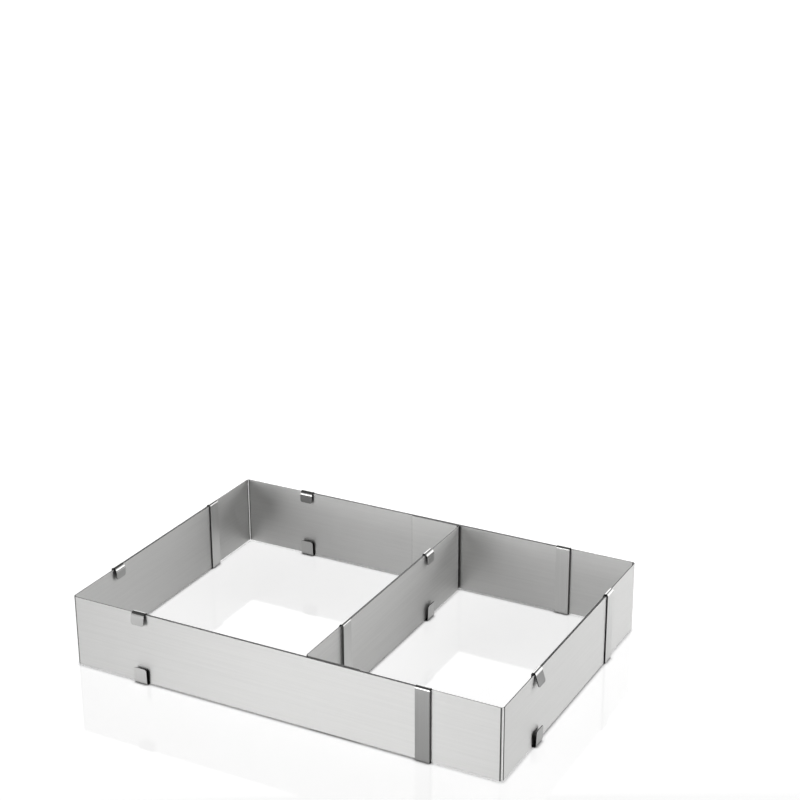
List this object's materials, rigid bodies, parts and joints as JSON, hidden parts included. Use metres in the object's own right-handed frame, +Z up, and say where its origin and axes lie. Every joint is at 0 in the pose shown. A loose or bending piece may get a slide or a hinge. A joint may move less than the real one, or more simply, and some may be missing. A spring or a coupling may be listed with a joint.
{
  "type": "adjustable cake frame",
  "caption": "Bottomless rectangular cake frame of overlapping bent steel strips that slide in length and width, with a telescopic divider that slides between two walls.",
  "frame": {"origin": "middle of the footprint, on the surface that the frame stands on", "axes": "+X along the length, +Y from the front wall to the back wall, +Z up"},
  "size_m": [0.334, 0.234, 0.0543],
  "materials": {
    "corner_front_left": "fine lengthwise brushed stainless sheet",
    "corner_front_right": "fine lengthwise brushed stainless sheet",
    "corner_back_right": "fine lengthwise brushed stainless sheet",
    "corner_back_left": "fine lengthwise brushed stainless sheet",
    "strap_front_outer": "plain stainless sheet, folded",
    "strap_front_inner": "plain stainless sheet, folded",
    "strap_right_outer": "plain stainless sheet, folded",
    "strap_right_inner": "plain stainless sheet, folded",
    "strap_back_outer": "plain stainless sheet, folded",
    "strap_back_inner": "plain stainless sheet, folded",
    "strap_left_outer": "plain stainless sheet, folded",
    "strap_left_inner": "plain stainless sheet, folded",
    "divider_front": "fine lengthwise brushed stainless sheet",
    "divider_back": "fine lengthwise brushed stainless sheet",
    "divider_strap_front": "plain stainless sheet, folded",
    "divider_strap_back": "plain stainless sheet, folded"
  },
  "bodies": {
    "front_left": {"corner_front_left": "corner_front_left", "strap_front_outer": "strap_front_outer", "strap_left_inner": "strap_left_inner"},
    "front_right": {"corner_front_right": "corner_front_right", "strap_front_inner": "strap_front_inner", "strap_right_outer": "strap_right_outer"},
    "back_right": {"corner_back_right": "corner_back_right", "strap_back_outer": "strap_back_outer", "strap_right_inner": "strap_right_inner"},
    "back_left": {"corner_back_left": "corner_back_left", "strap_back_inner": "strap_back_inner", "strap_left_outer": "strap_left_outer"},
    "divider_front_half": {"divider_front": "divider_front", "divider_strap_front": "divider_strap_front"},
    "divider_back_half": {"divider_back": "divider_back", "divider_strap_back": "divider_strap_back"}
  },
  "joints": [
    {"name": "length_slide", "type": "slide", "parent": "front_left", "child": "front_right", "axis": [1, 0, 0], "range_m": [-0.045, 0.058]},
    {"name": "width_slide", "type": "slide", "parent": "front_left", "child": "back_left", "axis": [0, 1, 0], "range_m": [-0.042, 0.104]},
    {"name": "width_slide_right", "type": "slide", "parent": "front_right", "child": "back_right", "axis": [0, 1, 0], "range_m": [-0.042, 0.104]},
    {"name": "divider_slide", "type": "slide", "parent": "front_left", "child": "divider_front_half", "axis": [1, 0, 0], "range_m": [-0.026, 0.0385]},
    {"name": "divider_extension", "type": "slide", "parent": "divider_front_half", "child": "divider_back_half", "axis": [0, 1, 0], "range_m": [-0.042, 0.104]}
  ],
  "couplings": [
    {"joint": "width_slide_right", "follows": "width_slide", "ratio": 1},
    {"joint": "divider_extension", "follows": "width_slide", "ratio": 1}
  ]
}
